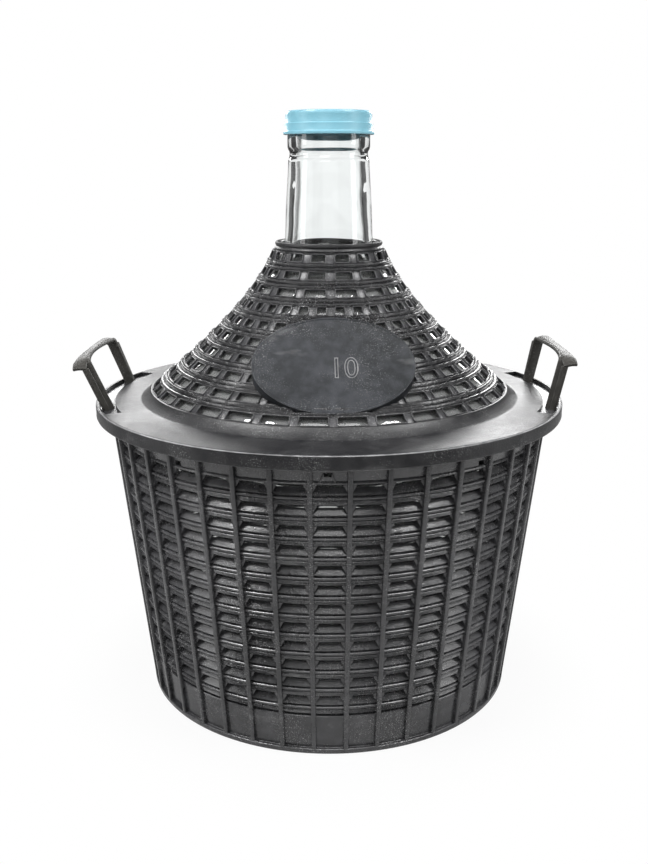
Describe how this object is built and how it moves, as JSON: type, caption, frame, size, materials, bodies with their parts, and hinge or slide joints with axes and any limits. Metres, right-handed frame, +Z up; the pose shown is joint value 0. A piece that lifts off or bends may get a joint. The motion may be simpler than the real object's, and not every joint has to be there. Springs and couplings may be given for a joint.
{
  "type": "demijohn",
  "caption": "Glass demijohn in a slotted plastic basket with carrying handles, under a conical lattice cover, with a push-on cap.",
  "frame": {"origin": "centre of the basket's foot ring, where the demijohn stands", "axes": "+Z up along the bottle's axis, the oval plate faces -Y, the handles lie along X"},
  "size_m": [0.3215, 0.3096, 0.381],
  "materials": {
    "basket": "moulded black plastic with a soft sheen",
    "cover": "moulded black plastic with a soft sheen",
    "bottle": "clear glass with a pale blue-green tint",
    "cap": "light blue soft plastic, satin"
  },
  "bodies": {
    "jar": {"basket": "basket", "cover": "cover", "bottle": "bottle"},
    "cap": {"cap": "cap"}
  },
  "joints": [
    {"name": "cap_lift", "type": "slide", "parent": "jar", "child": "cap", "axis": [0, 0, 1], "range_m": [0, 0.08]}
  ]
}
